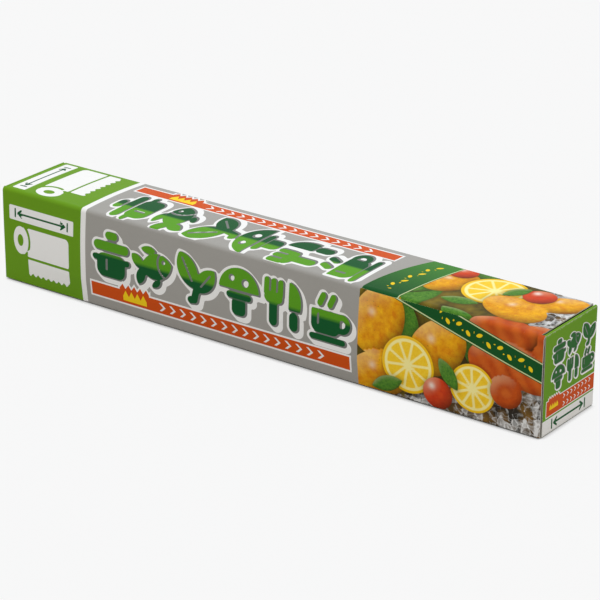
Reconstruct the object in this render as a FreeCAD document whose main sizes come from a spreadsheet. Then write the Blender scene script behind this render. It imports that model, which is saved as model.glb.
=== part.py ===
import FreeCAD, Part
import math
import os
import Sketcher

# Aluminium foil roll in its dispenser carton, in millimetres.
# The origin is the centre of the carton's underside: +X runs along the roll,
# -Y faces the flap that carries the cutting edge, and +Z is up.

# Driving dimensions. Each is set by itself, and everything else follows from them.
SIZES = {
    # foil and the cardboard core that it is wound on
    "foil_width": 250.0,
    "foil_length": 8000.0,
    "foil_thickness": 0.012,
    "foil_packing": 0.92,
    "core_bore": 29.0,
    "core_wall": 1.3,
    "core_overhang": 0.5,
    "winding_gap": 0.05,
    # room for the roll inside the carton
    "roll_seat_gap": 0.05,
    "roll_play": 1.2,
    "roll_end_play": 1.15,
    "headroom": 5.3,
    # folded board of the carton
    "board": 0.45,
    "fold_radius": 0.8,
    "crease_radius": 1.8,
    "front_wall_drop": 3.2,
    "fold_slot": 1.2,
    "panel_inset": 0.4,
    # running gaps between the lid and what it closes over
    "lid_gap": 0.3,
    "end_gap": 0.5,
    "blade_gap": 0.3,
    "flap_lift": 0.5,
    "flap_end_inset": 0.2,
    "end_wall_drop": 0.1,
    # how far the flat panels of the lid bulge
    "front_bow": 1.15,
    "front_arch": 0.35,
    "top_bow": 0.45,
    "edge_bow": 0.1,
    # toothed paper strip that cuts the foil
    "blade_height": 9.5,
    "blade_thickness": 0.4,
    "blade_inset": 3.0,
    "blade_lift": 0.55,
    "tooth_pitch": 2.5,
    "tooth_depth": 1.3,
    "tooth_flat": 0.15,
    "glue_line": 0.05,
}

# Places along each half of the lid, as shares of its half length, where its
# bulge is set: nearly even over the middle, and dying out towards the ends.
STATIONS = (0.0, 0.4, 0.7, 0.9, 1.0)
BOW_POWER = 6

# Layers of board in an end wall: outer panel, glued flap and inner panel.
END_LAYERS = 3

# How far along each side of a square corner a quarter arc's middle lies.
ARC_MIDDLE = 1.0 - math.sqrt(0.5)


class Size:
    """A length, kept both as a number and as the formula that gives it."""

    def __init__(self, value, formula=None):
        self.value = float(value)
        self.formula = formula if formula else "(%r)" % float(value)

    def joined(self, sign, other, value):
        return Size(value, "(%s %s %s)" % (self.formula, sign, other.formula))

    def __add__(self, other):
        other = as_size(other)
        return self.joined("+", other, self.value + other.value)

    def __sub__(self, other):
        other = as_size(other)
        return self.joined("-", other, self.value - other.value)

    def __mul__(self, other):
        other = as_size(other)
        return self.joined("*", other, self.value * other.value)

    def __truediv__(self, other):
        other = as_size(other)
        return self.joined("/", other, self.value / other.value)

    def __neg__(self):
        return self * -1.0

    def root(self):
        return Size(math.sqrt(self.value), "sqrt(%s)" % self.formula)

    def whole(self):
        return Size(math.floor(self.value), "floor(%s)" % self.formula)


def as_size(value):
    return value if isinstance(value, Size) else Size(value)


def make_sheet(doc):
    """The table of driving dimensions, one named row each."""
    sheet = doc.addObject("Spreadsheet::Sheet", "Sheet")
    for row, (alias, value) in enumerate(SIZES.items(), start=1):
        sheet.set("A%d" % row, alias)
        sheet.set("B%d" % row, str(value))
        sheet.setAlias("B%d" % row, alias)
    doc.recompute()
    return sheet


class Layout:
    """Every place that more than one piece shares, worked out from the sizes."""

    def __init__(self, sheet):
        for alias in SIZES:
            setattr(self, alias, Size(getattr(sheet, alias), "Sheet." + alias))

        # the roll
        self.core_radius = self.core_bore / 2 + self.core_wall
        self.core_length = self.foil_width + self.core_overhang * 2
        self.winding_radius = self.core_radius + self.winding_gap
        wound_area = self.foil_length * self.foil_thickness / self.foil_packing
        inner_square = self.winding_radius * self.winding_radius
        self.roll_radius = (inner_square + wound_area / math.pi).root()

        # the carton around it, from the back and the floor outwards
        self.end_wall = self.board * END_LAYERS
        self.body_half = self.core_length / 2 + self.roll_end_play + self.end_wall
        self.lid_half = self.body_half - self.flap_end_inset
        self.top_half = self.body_half - self.end_wall - self.end_gap
        self.flap_stack = self.board + self.glue_line + self.blade_thickness + self.blade_gap
        inside_depth = self.roll_radius * 2 + self.roll_play
        depth = self.board * 2 + inside_depth + self.flap_stack
        self.back = depth / 2
        self.flap_face = -self.back
        self.wall_face = self.flap_face + self.flap_stack
        self.wall_inside = self.wall_face + self.board
        self.back_inside = self.back - self.board
        self.roll_y = (self.wall_inside + self.back_inside) / 2
        self.roll_z = self.board + self.roll_seat_gap + self.roll_radius
        self.lid_underside = self.roll_z + self.roll_radius + self.headroom
        self.lid_top = self.lid_underside + self.board
        self.body_top = self.lid_underside - self.lid_gap
        self.end_wall_top = self.lid_top - self.end_wall_drop

        # the cutting strip inside the flap's lower edge
        self.blade_half = self.lid_half - self.blade_inset
        self.blade_top = self.blade_lift + self.blade_height
        self.teeth = (self.blade_half * 2 / self.tooth_pitch).whole()


def plane_sketch(body, role, name, offset=0.0):
    """A sketch on one of the body's own planes, moved along that plane's normal."""
    plane = next(item for item in body.Origin.OriginFeatures if item.Role == role)
    sketch = body.newObject("Sketcher::SketchObject", name)
    sketch.AttachmentSupport = [(plane, "")]
    sketch.MapMode = "FlatFace"
    offset = as_size(offset)
    sketch.AttachmentOffset = FreeCAD.Placement(
        FreeCAD.Vector(0, 0, offset.value), FreeCAD.Rotation())
    sketch.setExpression("AttachmentOffset.Base.z", offset.formula)
    return sketch


def pin_point(sketch, geometry, point, place, name):
    """Tie one point of the sketch to its two coordinates."""
    for kind, size in zip(("DistanceX", "DistanceY"), place):
        index = sketch.addConstraint(
            Sketcher.Constraint(kind, -1, 1, geometry, point, size.value))
        label = "%s_%s" % (name, kind)
        sketch.renameConstraint(index, label)
        sketch.setExpression("Constraints." + label, size.formula)


def arc_through(start, middle, end):
    """The arc through three places, and whether it runs from start to end anticlockwise."""
    points = [FreeCAD.Vector(place[0].value, place[1].value, 0) for place in (start, middle, end)]
    turn = (points[1] - points[0]).cross(points[2] - points[1]).z
    if turn < 0:
        points.reverse()
    return Part.Arc(*points), turn > 0


def outline(sketch, name, path):
    """A closed outline. A place with a third entry is where an arc passes between
    its two neighbours, and any other place is a corner."""
    corners = [place for place in path if len(place) == 2]
    first = sketch.GeometryCount
    ends = []
    for index, corner in enumerate(corners):
        following = corners[(index + 1) % len(corners)]
        after = path[(path.index(corner) + 1) % len(path)]
        if len(after) == 3:
            arc, anticlockwise = arc_through(corner, after, following)
            geometry = sketch.addGeometry(arc, False)
            ends.append((geometry, 1, 2) if anticlockwise else (geometry, 2, 1))
        else:
            line = Part.LineSegment(
                FreeCAD.Vector(corner[0].value, corner[1].value, 0),
                FreeCAD.Vector(following[0].value, following[1].value, 0))
            ends.append((sketch.addGeometry(line, False), 1, 2))
    for index, (geometry, start, end) in enumerate(ends):
        following, following_start, _ = ends[(index + 1) % len(ends)]
        sketch.addConstraint(
            Sketcher.Constraint("Coincident", geometry, end, following, following_start))
        pin_point(sketch, geometry, start, corners[index], "%s_corner_%d" % (name, index))
    for index, corner in enumerate(corners):
        after = path[(path.index(corner) + 1) % len(path)]
        if len(after) == 3:
            place = FreeCAD.Vector(after[0].value, after[1].value, 0)
            point = sketch.addGeometry(Part.Point(place), True)
            pin_point(sketch, point, 1, after[:2], "%s_arc_%d" % (name, index))
            sketch.addConstraint(
                Sketcher.Constraint("PointOnObject", point, 1, first + index))


def fold(corner, radius, along, up, upright_first):
    """A rounded square corner: its outline lies on the side that along and up give."""
    middle = radius * ARC_MIDDLE
    upright = (corner[0], corner[1] + radius * up)
    level = (corner[0] + radius * along, corner[1])
    between = (corner[0] + middle * along, corner[1] + middle * up, "arc")
    return [upright, between, level] if upright_first else [level, between, upright]


def ring(sketch, name, centre, radii):
    """Circles about one centre."""
    for index, radius in enumerate(radii):
        circle = Part.Circle(
            FreeCAD.Vector(centre[0].value, centre[1].value, 0),
            FreeCAD.Vector(0, 0, 1), radius.value)
        geometry = sketch.addGeometry(circle, False)
        pin_point(sketch, geometry, 3, centre, "%s_centre_%d" % (name, index))
        number = sketch.addConstraint(Sketcher.Constraint("Radius", geometry, radius.value))
        label = "%s_radius_%d" % (name, index)
        sketch.renameConstraint(number, label)
        sketch.setExpression("Constraints." + label, radius.formula)


def pad(body, sketch, name, length, both_ways):
    """The sketch's outline drawn out into a solid."""
    feature = body.newObject("PartDesign::Pad", name)
    feature.Profile = sketch
    feature.SideType = "Symmetric" if both_ways else "One side"
    feature.setExpression("Length", length.formula)
    return feature


def new_body(doc, node):
    """An empty body whose label names the piece."""
    body = doc.addObject("PartDesign::Body", node)
    body.Label = node
    return body


def roll_tube(doc, at, node, inside, outside, length):
    """A tube about the roll's axis: the core, or the foil wound on it."""
    body = new_body(doc, node)
    section = plane_sketch(body, "YZ_Plane", node + "_section")
    ring(section, "wall", (at.roll_y, at.roll_z), (inside, outside))
    pad(body, section, node + "_tube", length, True)
    return body


def carton_body(doc, at):
    """The lower carton: one folded and glued sheet with doubled end walls."""
    body = new_body(doc, "carton_body")

    # front wall, floor and back wall, with rounded folds along the floor
    channel = plane_sketch(body, "YZ_Plane", "channel_section")
    inner_fold = at.fold_radius - at.board
    wall_top = at.body_top - at.front_wall_drop
    path = [(at.back, at.body_top)]
    path += fold((at.back, as_size(0)), at.fold_radius, -1, 1, True)
    path += fold((at.wall_face, as_size(0)), at.fold_radius, 1, 1, False)
    path += [(at.wall_face, wall_top), (at.wall_inside, wall_top)]
    path += fold((at.wall_inside, at.board), inner_fold, 1, 1, True)
    path += fold((at.back_inside, at.board), inner_fold, -1, 1, False)
    path += [(at.back_inside, at.body_top)]
    outline(channel, "channel", path)
    channel_length = (at.body_half - at.board) * 2
    pad(body, channel, "channel", channel_length, True)

    # glued flap inside the end panel, from wall to wall
    fold_outer = at.board * 1.5
    slot_foot = at.end_wall_top - fold_outer - at.fold_slot
    flap = plane_sketch(body, "YZ_Plane", "glue_flap_section", at.body_half - at.board * 2)
    outline(flap, "flap", [
        (at.wall_face, at.fold_radius),
        (at.back, at.fold_radius),
        (at.back, slot_foot),
        (at.wall_face, slot_foot),
    ])
    glue_flap = pad(body, flap, "glue_flap", at.board, False)

    # end panel, folded over level with the lid and back down inside, with the
    # slot that stays open under the fold
    middle = (at.wall_face + at.back) / 2
    panel = plane_sketch(body, "XZ_Plane", "end_panel_section", -middle)
    outer = at.body_half
    inner = at.body_half - at.end_wall
    shoulder = at.end_wall_top - fold_outer
    crown = (outer - fold_outer, at.end_wall_top, "arc")
    path = [(inner, as_size(0)), (inner, shoulder), crown, (outer, shoulder)]
    path += fold((outer, as_size(0)), at.fold_radius, -1, 1, True)
    outline(panel, "panel", path)
    slot_top = (outer - fold_outer, shoulder + at.board / 2, "arc")
    outline(panel, "slot", [
        (inner + at.board, slot_foot),
        (inner + at.board, shoulder),
        slot_top,
        (outer - at.board, shoulder),
        (outer - at.board, slot_foot),
    ])
    panel_width = at.back - at.wall_face - at.panel_inset * 2
    end_panel = pad(body, panel, "end_panel", panel_width, True)

    # the same end wall at the other end
    doc.recompute()
    mirrored = body.newObject("PartDesign::Mirrored", "other_end")
    mirrored.Originals = [glue_flap, end_panel]
    plane = next(item for item in body.Origin.OriginFeatures if item.Role == "YZ_Plane")
    mirrored.MirrorPlane = (plane, [""])
    body.Tip = mirrored
    return body


def stations():
    """Shares of the half length from one end to the other, each with the share of
    the full bulge that it has."""
    shares = [-share for share in reversed(STATIONS[1:])] + list(STATIONS)
    return [(share, 1.0 - abs(share) ** BOW_POWER) for share in shares]


def loft(body, name, sections):
    """A solid through a row of sections."""
    feature = body.newObject("PartDesign::AdditiveLoft", name)
    feature.Profile = sections[0]
    feature.Sections = sections[1:]
    return feature


def lid_path(at, share):
    """The lid's section where it has this share of its bulge: the flap, stiff and
    straight behind the glued strip, the rounded crease and the top panel."""
    bow = at.front_bow * share
    arch = bow / 2 + at.front_arch * share + at.edge_bow
    crown = at.top_bow * share + at.edge_bow
    crease_z = at.lid_top - at.crease_radius
    crease_y = at.flap_face + at.crease_radius
    arch_z = (at.blade_top + crease_z) / 2
    crown_y = (crease_y + at.back) / 2
    inner_face = at.flap_face + at.board
    inner_crease = at.crease_radius - at.board
    path = [
        (at.flap_face, at.flap_lift),
        (at.flap_face - bow, at.blade_top),
        (at.flap_face - arch, arch_z, "arc"),
    ]
    path += fold((at.flap_face, at.lid_top), at.crease_radius, 1, -1, True)
    path += [
        (crown_y, at.lid_top + crown, "arc"),
        (at.back, at.lid_top),
        (at.back, at.lid_underside),
        (crown_y, at.lid_underside + crown, "arc"),
    ]
    path += fold((inner_face, at.lid_underside), inner_crease, 1, -1, False)
    path += [
        (inner_face - arch, arch_z, "arc"),
        (inner_face - bow, at.blade_top),
        (inner_face, at.flap_lift),
    ]
    return path


def lid(doc, at):
    """Top panel and front flap: one sheet creased along the front edge, its
    panels bulging a little as loose board does. The flap is as long as the carton,
    and the top panel is notched back to drop in between the end walls."""
    body = new_body(doc, "lid")
    sections = []
    for index, (share, bulge) in enumerate(stations()):
        name = "lid_section_%d" % index
        sketch = plane_sketch(body, "YZ_Plane", name, at.lid_half * share)
        outline(sketch, name, lid_path(at, bulge))
        sections.append(sketch)
    sheet = loft(body, "lid_sheet", sections)
    doc.recompute()

    # the notch at each end that makes room for the end wall's fold
    notch_front = at.wall_face + at.panel_inset - at.lid_gap
    notch_back = at.back + at.end_gap
    notch_outer = at.body_half + at.end_gap
    plan = plane_sketch(body, "XY_Plane", "end_notch_plan")
    for side, sign in (("left", -1), ("right", 1)):
        outline(plan, side, [
            (at.top_half * sign, notch_front),
            (notch_outer * sign, notch_front),
            (notch_outer * sign, notch_back),
            (at.top_half * sign, notch_back),
        ])
    notches = body.newObject("PartDesign::Pocket", "end_notches")
    notches.Profile = plan
    notches.Type = "ThroughAll"
    notches.SideType = "Symmetric"
    doc.recompute()
    check_cut(sheet, notches, "end_notches")
    return body


def blade_path(at, share):
    """The strip's section: it lies along the flap's inner face."""
    lean = at.front_bow * share / (at.blade_top - at.flap_lift)
    glued_face = at.flap_face + at.board + at.glue_line
    foot = glued_face + lean * (at.flap_lift - at.blade_lift)
    head = glued_face - at.front_bow * share
    return [
        (foot, at.blade_lift),
        (foot + at.blade_thickness, at.blade_lift),
        (head + at.blade_thickness, at.blade_top),
        (head, at.blade_top),
    ]


def paper_blade(doc, at):
    """The saw-toothed strip of hard paper glued inside the flap's lower edge."""
    body = new_body(doc, "paper_blade")
    sections = []
    for index, (share, bulge) in enumerate(stations()):
        name = "blade_section_%d" % index
        sketch = plane_sketch(body, "YZ_Plane", name, at.blade_half * share)
        outline(sketch, name, blade_path(at, bulge))
        sections.append(sketch)
    strip = loft(body, "blade_strip", sections)
    doc.recompute()

    # one notch between two teeth at the left end, then the whole row
    half_notch = (at.tooth_pitch - at.tooth_flat) / 2
    first = -(at.teeth - 1) * at.tooth_pitch / 2
    notch = plane_sketch(body, "XZ_Plane", "notch_section")
    outline(notch, "notch", [
        (first - half_notch, at.blade_lift),
        (first + half_notch, at.blade_lift),
        (first, at.blade_lift + at.tooth_depth),
    ])
    cut = body.newObject("PartDesign::Pocket", "notch")
    cut.Profile = notch
    cut.Type = "ThroughAll"
    cut.SideType = "Symmetric"
    doc.recompute()
    row = body.newObject("PartDesign::LinearPattern", "teeth")
    row.Originals = [cut]
    row.Direction = (notch, ["H_Axis"])
    row.setExpression("Length", ((at.teeth - 1) * at.tooth_pitch).formula)
    row.setExpression("Occurrences", at.teeth.formula)
    body.Tip = row
    doc.recompute()
    check_cut(strip, cut, "notch")
    check_cut(cut, row, "teeth")
    return body


def check_cut(before, after, name):
    """Stop if a cut took nothing away."""
    if not after.Shape.Volume < before.Shape.Volume:
        raise RuntimeError("the cut %s removes nothing" % name)


def check_all(doc, bodies):
    """Stop if anything failed to build."""
    for item in doc.Objects:
        bad = [state for state in item.State if state in ("Invalid", "Error")]
        if bad:
            raise RuntimeError("%s is %s" % (item.Name, bad))
    for body in bodies:
        if body.Shape.isNull() or not body.Shape.isValid():
            raise RuntimeError("%s has no valid shape" % body.Label)


def main():
    doc = FreeCAD.newDocument("foil_roll")
    at = Layout(make_sheet(doc))
    bodies = [
        carton_body(doc, at),
        lid(doc, at),
        paper_blade(doc, at),
        roll_tube(doc, at, "core_tube", at.core_bore / 2, at.core_radius, at.core_length),
        roll_tube(doc, at, "foil_roll", at.winding_radius, at.roll_radius, at.foil_width),
    ]
    doc.recompute()
    check_all(doc, bodies)
    os.makedirs("parts", exist_ok=True)
    for body in bodies:
        box = body.Shape.BoundBox
        print("%-12s solids %d  volume %9.1f  x %.2f..%.2f  y %.2f..%.2f  z %.2f..%.2f" % (
            body.Label, len(body.Shape.Solids), body.Shape.Volume,
            box.XMin, box.XMax, box.YMin, box.YMax, box.ZMin, box.ZMax))
        body.Shape.exportStep("parts/%s.step" % body.Label)
    print("hinge line y %.3f z %.3f" % (at.back.value, at.lid_top.value))
    print("roll centre y %.3f z %.3f radius %.3f" % (
        at.roll_y.value, at.roll_z.value, at.roll_radius.value))


main()
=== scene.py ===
# %% [markdown]
# # A boxed roll of kitchen foil
#
# The object is a long printed carton, closed but not sealed. It holds a roll of aluminium
# foil on a cardboard core, and its lid is a top panel with a front flap, creased from one
# sheet. This lesson dresses the plain model: the board becomes thin folded sheet with raw
# grey edges, the print is drawn on it, and the roll gets its wrinkled foil.
#
# Places on the carton are in millimetres, and are turned into metres once, when a mesh is
# made. Only the table, the lamp and the camera are placed in metres.

# %% Load the frame
import math

import bpy
import numpy as np
from mathutils import Euler, Matrix, Vector


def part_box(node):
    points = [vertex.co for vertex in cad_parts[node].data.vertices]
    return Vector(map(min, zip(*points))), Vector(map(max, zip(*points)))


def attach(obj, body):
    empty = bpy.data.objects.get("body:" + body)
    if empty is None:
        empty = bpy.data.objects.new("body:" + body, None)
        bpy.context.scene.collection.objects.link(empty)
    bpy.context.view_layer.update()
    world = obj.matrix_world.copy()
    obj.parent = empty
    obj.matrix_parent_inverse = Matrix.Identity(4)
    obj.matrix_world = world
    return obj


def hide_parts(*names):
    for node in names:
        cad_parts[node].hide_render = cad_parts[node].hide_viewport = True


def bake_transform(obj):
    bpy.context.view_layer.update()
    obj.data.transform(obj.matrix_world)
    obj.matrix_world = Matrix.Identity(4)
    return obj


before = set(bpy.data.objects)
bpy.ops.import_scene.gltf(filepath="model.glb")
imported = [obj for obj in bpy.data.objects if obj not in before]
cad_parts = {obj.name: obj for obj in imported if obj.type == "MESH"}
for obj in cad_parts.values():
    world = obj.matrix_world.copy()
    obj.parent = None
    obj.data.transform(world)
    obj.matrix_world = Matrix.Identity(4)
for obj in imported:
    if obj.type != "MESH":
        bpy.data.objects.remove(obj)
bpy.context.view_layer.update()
MM = 0.001

# %% [markdown]
# ## The carton's own sizes
#
# The frame gives each solid's box, and most places follow from it. Only what a box can't
# say is written here: the board's thickness, the radius of each fold, how far the loose
# panels bulge, and where the lid is notched for the end walls.

# %% Sizes of the folded board
def box_mm(node):
    """A node's lowest and highest corner at rest, in mm."""
    return [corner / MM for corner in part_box(node)]


lid_low, lid_high = box_mm("lid")
body_low, body_high = box_mm("carton_body")
roll_low, roll_high = box_mm("foil_roll")
core_low, core_high = box_mm("core_tube")
STRIP_TOP = box_mm("paper_blade")[1].z
BOARD = 0.45
BACK = body_high.y
FLAP_FACE = -BACK
LID_HALF = lid_high.x
BODY_HALF = body_high.x
END_WALL = 3 * BOARD
TOP_PLAY = 0.5
TOP_HALF = BODY_HALF - END_WALL - TOP_PLAY
FLAP_FOOT = lid_low.z
LID_TOP = 39.981
NOTCH_FRONT = -17.215
FRONT_BOW = 1.15
FRONT_ARCH = 0.35
TOP_BOW = 0.45
EDGE_BOW = 0.1
RIPPLE = 0.04
CREASE = 1.8
CREASE_RUN = CREASE * math.pi / 2
CREASE_Z = LID_TOP - CREASE
CREASE_Y = FLAP_FACE + CREASE
CREASE_MIDDLE = CREASE_Z + CREASE_RUN / 2
TOP_START = CREASE_Z + CREASE_RUN
SHEET_END = TOP_START + BACK - CREASE_Y
print("flap half length", round(LID_HALF, 2), "top panel half length", round(TOP_HALF, 2))

# %% [markdown]
# ## Sheets of board
#
# Board is a skin with a thickness. Each panel here is a grid of points for the outer face
# and a grid of the same size for the inner face. A mask says which cells are board, and
# wherever a cell has no neighbour a narrow wall joins the two faces. That closes the sheet
# and gives it its raw edge, and a notch costs nothing but a few cells left out.

# %% A maker of closed sheets
FAR = 99.0
SHARP = math.radians(35)


class Sheets:
    """Collects closed sheets of board and turns them into one mesh."""

    def __init__(self):
        self.points, self.quads, self.looks, self.values = [], [], [], []
        self.count = 0

    def add(self, outer, inner, keep=None, outside=0, inside=1, rim=2, **values):
        """outer and inner are (rows, columns, 3) grids in mm. A cell (j, i) has the corners
        (j, i), (j, i+1), (j+1, i+1), (j+1, i), which must run anticlockwise seen from
        outside. values hold one number a grid point, such as a distance to a printed edge."""
        rows, columns = outer.shape[:2]
        keep = np.ones((rows - 1, columns - 1), bool) if keep is None else keep
        number = np.arange(rows * columns).reshape(rows, columns) + self.count
        a, b = number[:-1, :-1], number[:-1, 1:]
        c, d = number[1:, 1:], number[1:, :-1]
        shift = rows * columns
        skin = np.stack([a, b, c, d], -1)[keep]
        lining = np.stack([d, c, b, a], -1)[keep] + shift
        padded = np.pad(keep, 1)
        beside = (padded[:-2, 1:-1], padded[1:-1, 2:], padded[2:, 1:-1], padded[1:-1, :-2])
        walls = []
        for start, end, neighbour in zip((a, b, c, d), (b, c, d, a), beside):
            open_side = keep & ~neighbour
            first, last = start[open_side], end[open_side]
            walls.append(np.stack([last, first, first + shift, last + shift], -1))
        walls = np.concatenate(walls)
        self.points += [outer.reshape(-1, 3), inner.reshape(-1, 3)]
        self.quads += [skin, lining, walls]
        for faces, look in zip((skin, lining, walls), (outside, inside, rim)):
            self.looks.append(np.full(len(faces), look))
        self.values.append((2 * shift, values))
        self.count += 2 * shift

    def make(self, name, materials, blank=()):
        """One mesh object with its materials, and its values as vertex attributes. Where a
        sheet lacks a value, or the value is named in blank, every point is far away."""
        used, quads = np.unique(np.concatenate(self.quads), return_inverse=True)
        quads = quads.reshape(-1, 4)
        mesh = bpy.data.meshes.new(name)
        mesh.from_pydata((np.concatenate(self.points) * MM)[used], [], quads)
        looks = np.concatenate(self.looks).astype(np.int32)
        mesh.polygons.foreach_set("material_index", looks)
        keys = sorted({key for _, values in self.values for key in values} | set(blank))
        for key in keys:
            column = [np.tile(values[key].reshape(-1), 2) if key in values
                      else np.full(size, FAR) for size, values in self.values]
            layer = mesh.attributes.new(key, "FLOAT", "POINT")
            layer.data.foreach_set("value", np.concatenate(column)[used].astype(np.float32))
        for material in materials:
            mesh.materials.append(material)
        mesh.shade_smooth()
        mesh.set_sharp_from_angle(angle=SHARP)
        mesh.update()
        piece = bpy.data.objects.new(name, mesh)
        bpy.context.scene.collection.objects.link(piece)
        print(name, "has", len(quads) * 2, "triangles and carries", len(keys), "values")
        return piece


def carried(path, thickness, along, axis):
    """A path of (a, b) points carried along a straight line: the outer grid, and the inner
    grid moved by the thickness along the path's own normal, to the left of its direction."""
    step = np.gradient(path, axis=0)
    normal = np.stack([-step[:, 1], step[:, 0]], -1)
    normal /= np.linalg.norm(normal, axis=1, keepdims=True)
    rest = [k for k in range(3) if k != axis]
    grids = []
    for profile in (path, path + normal * thickness):
        grid = np.empty((len(along), len(path), 3))
        grid[..., axis] = along[:, None]
        grid[..., rest[0]] = profile[:, 0]
        grid[..., rest[1]] = profile[:, 1]
        grids.append(grid)
    return grids


def spread(*stops):
    """Places from stop to stop: (start, pitch), (next start, pitch), ..., (end, None)."""
    parts = []
    for (start, pitch), (end, _) in zip(stops[:-1], stops[1:]):
        count = max(1, int(round(abs(end - start) / pitch)))
        parts.append(np.linspace(start, end, count, endpoint=False))
    return np.append(np.concatenate(parts), stops[-1][0])


def turn(centre, radius, start, end, count):
    """Points on an arc from one angle to the other, in degrees."""
    angle = np.radians(np.linspace(start, end, count))
    return np.stack([centre[0] + radius * np.cos(angle), centre[1] + radius * np.sin(angle)], -1)


# %% [markdown]
# ## Printed shapes as distances
#
# A printer's plate is only edges. Each printed shape is kept as a distance: how far a point
# of the sheet lies outside the shape's edge, negative inside it. The mesh carries the
# distance and the material cuts it at zero, so an edge stays sharp however far apart the
# points are, and the same distance also gives outlines, gaps and shadows for nothing.
# Numpy works the distances out for the whole sheet at once.

# %% Shapes, each a distance in mm
def turned(x, y, cx, cy, degrees):
    """The coordinates along and across a direction, from a centre."""
    c, s = math.cos(math.radians(degrees)), math.sin(math.radians(degrees))
    return (x - cx) * c + (y - cy) * s, (y - cy) * c - (x - cx) * s


def disc(x, y, cx, cy, radius):
    """Distance to the centre, less the radius."""
    return np.hypot(x - cx, y - cy) - radius


def stroke(x, y, ax, ay, bx, by, radius):
    """Distance to the nearest point of the line from a to b, less the pen's radius."""
    dx, dy = bx - ax, by - ay
    share = np.clip(((x - ax) * dx + (y - ay) * dy) / (dx * dx + dy * dy), 0, 1)
    return np.hypot(x - ax - share * dx, y - ay - share * dy) - radius


def trace(x, y, radius, *places):
    """One pen line from place to place: the nearest of its strokes."""
    return join(*[stroke(x, y, *start, *end, radius) for start, end in zip(places[:-1], places[1:])])


def block(x, y, cx, cy, half_x, half_y, corner=0.0):
    """Distance to a rectangle with rounded corners."""
    qx, qy = np.abs(x - cx) - half_x + corner, np.abs(y - cy) - half_y + corner
    return np.hypot(np.maximum(qx, 0), np.maximum(qy, 0)) + np.minimum(np.maximum(qx, qy), 0) - corner


def oval(x, y, cx, cy, half_x, half_y, degrees=0.0):
    """Nearly the distance to a turned ellipse: its share of the radius, times the short one."""
    u, v = turned(x, y, cx, cy, degrees)
    return (np.hypot(u / half_x, v / half_y) - 1) * min(half_x, half_y)


def leaf(x, y, cx, cy, length, width, degrees):
    """Where two equal discs overlap: a pointed leaf of that length and width."""
    u, v = turned(x, y, cx, cy, degrees)
    radius = (length * length + width * width) / (4 * width)
    return np.hypot(u, np.abs(v) + radius - width / 2) - radius


def join(*shapes):
    """The union: the nearest shape counts."""
    return np.minimum.reduce(shapes)


def cut(shape, hole):
    """The shape with the hole taken out."""
    return np.maximum(shape, -hole)


# %% [markdown]
# ## Six kitchen signs
#
# A row of six fat signs fills the front and the top, and two short rows of three, smaller,
# fill the ends. Each is drawn with a broad pen about a centre, 19 mm across, with slots
# between the strokes as in a stencil: a pot, a fish, a sprig, a mushroom, a fork and knife,
# and a cup. The numbers are places on that small drawing, in mm.

# %% The signs
def pot(x, y):
    """A stew pot: a round-bottomed body with two handles, a flat lid and its knob."""
    body = block(x, y, 0, -4.6, 7.2, 4.9, 3.4)
    body = cut(body, block(x, y, -2.2, -4.4, 0.55, 2.6, 0.5))
    handles = stroke(np.abs(x), y, 7.4, -1.9, 8.3, -1.9, 1.2)
    lid = stroke(x, y, -7.0, 3.3, 7.0, 3.3, 1.9)
    knob = stroke(x, y, -1.5, 7.9, 1.5, 7.9, 1.6)
    return join(body, handles, lid, knob)


def fish(x, y):
    """A leaping fish: a pointed body with a gill slot and an eye, two fins and a forked tail."""
    u, v = turned(x, y, 0, 0, 16)
    body = leaf(u, v, 1.9, 0, 15.6, 10.6, 0)
    body = cut(body, disc(u, v, 6.0, 1.5, 0.95))
    body = cut(body, np.abs(disc(u, v, 9.2, 0, 6.4)) - 0.5)
    tail = join(leaf(u, v, -7.0, 3.0, 8.0, 4.4, 124), leaf(u, v, -7.0, -3.0, 8.0, 4.4, -124))
    fin = leaf(u, v, -0.4, 7.0, 7.4, 3.0, 164)
    belly = leaf(u, v, 0.0, -6.9, 5.4, 2.6, 200)
    return join(body, tail, fin, belly)


def sprig(x, y):
    """Two leaves, each slit along its rib, on a bent stalk."""
    big = leaf(x, y, -3.9, 3.0, 16.0, 9.2, 122)
    big = cut(big, stroke(x, y, -6.6, 7.6, -1.6, -1.0, 0.5))
    small = leaf(x, y, 4.9, 0.2, 13.4, 7.8, 50)
    small = cut(small, stroke(x, y, 7.2, 3.0, 2.8, -2.4, 0.45))
    stalk = join(stroke(x, y, 0.4, -5.0, -0.4, -8.4, 1.6), stroke(x, y, -0.4, -8.4, -2.2, -8.8, 1.5))
    return join(big, small, stalk)


def mushroom(x, y):
    """A spotted cap over a stout stem with its skirt."""
    cap = np.maximum(oval(x, y, 0, 0.6, 9.6, 9.0), 0.8 - y)
    cap = cut(cap, join(disc(x, y, -3.6, 5.2, 1.4), disc(x, y, 2.9, 4.2, 1.7)))
    skirt = stroke(x, y, -4.6, -1.6, 4.6, -1.6, 1.35)
    stem = np.maximum(block(x, y, 0, -5.6, 3.3, 4.0, 2.2), y + 3.6)
    return join(cap, skirt, stem)


def cutlery(x, y):
    """A fork of three tines beside a knife."""
    tines = stroke(np.abs(x + 4.8), y, 3.3, 8.4, 3.3, 3.4, 1.2)
    tines = join(tines, stroke(x, y, -4.8, 8.4, -4.8, 3.4, 1.2))
    neck = stroke(x, y, -7.0, 1.9, -2.6, 1.9, 2.1)
    shaft = stroke(x, y, -4.8, 0.5, -4.8, -7.6, 1.9)
    blade = np.maximum(oval(x, y, 2.4, 1.6, 5.8, 8.0), np.maximum(2.4 - x, -1.4 - y))
    grip = stroke(x, y, 4.8, -4.0, 4.8, -7.6, 2.0)
    return join(tines, neck, shaft, blade, grip)


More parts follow.
